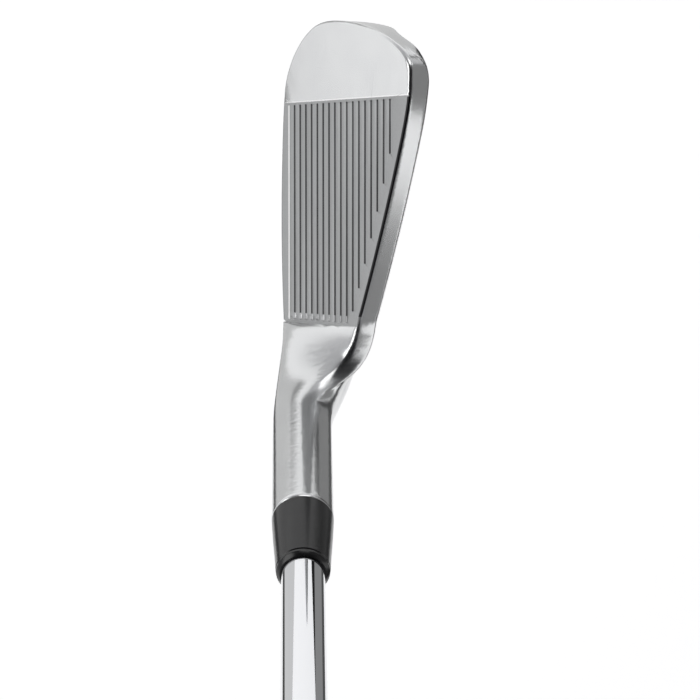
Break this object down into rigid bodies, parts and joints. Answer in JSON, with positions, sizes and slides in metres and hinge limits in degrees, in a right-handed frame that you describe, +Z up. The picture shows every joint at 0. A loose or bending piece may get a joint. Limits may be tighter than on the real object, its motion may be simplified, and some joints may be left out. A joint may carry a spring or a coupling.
{
  "type": "iron golf club",
  "caption": "Right-handed mid-iron golf club with a satin cavity-back head, black ferrule, stepped chrome shaft and tapered rubber grip.",
  "frame": {"origin": "on the ground straight below the middle of the scoring area, in the vertical plane of the shaft, with the sole resting on the ground as at address", "axes": "+Z up from the ground; +X from toe to heel, toward the golfer; -Y toward the target, so the face looks along -Y and up; the shaft leans 62 degrees from the ground toward +X in the plane Y = 0"},
  "size_m": [0.5297, 0.0435, 0.836],
  "materials": {
    "head_steel": "satin cast stainless steel, blasted scoring area",
    "line_paint": "white enamel fill in the lowest scoring line",
    "badge": "brushed and dark anodised aluminium badge, no mark",
    "tape": "black acrylic foam tape",
    "damper": "black moulded rubber",
    "weight": "turned tungsten alloy plug",
    "ferrule": "black cellulose-like plastic, turned and lightly polished",
    "epoxy": "cured epoxy",
    "pin": "turned brass",
    "shaft_chrome": "mirror chrome plate on steel tube",
    "band": "plain dark film band",
    "grip_tape": "cream double-sided paper tape",
    "grip_rubber": "black moulded rubber with a fine pattern"
  },
  "bodies": {
    "root": {"head": "head_steel", "line_paint": "line_paint", "cavity_badge": "badge", "badge_tape": "tape", "damper": "damper", "toe_weight": "weight", "ferrule": "ferrule", "hosel_bond": "epoxy", "tip_pin": "pin", "shaft": "shaft_chrome", "shaft_band": "band", "grip_tape": "grip_tape", "grip": "grip_rubber", "grip_cap": "grip_rubber"}
  },
  "joints": []
}
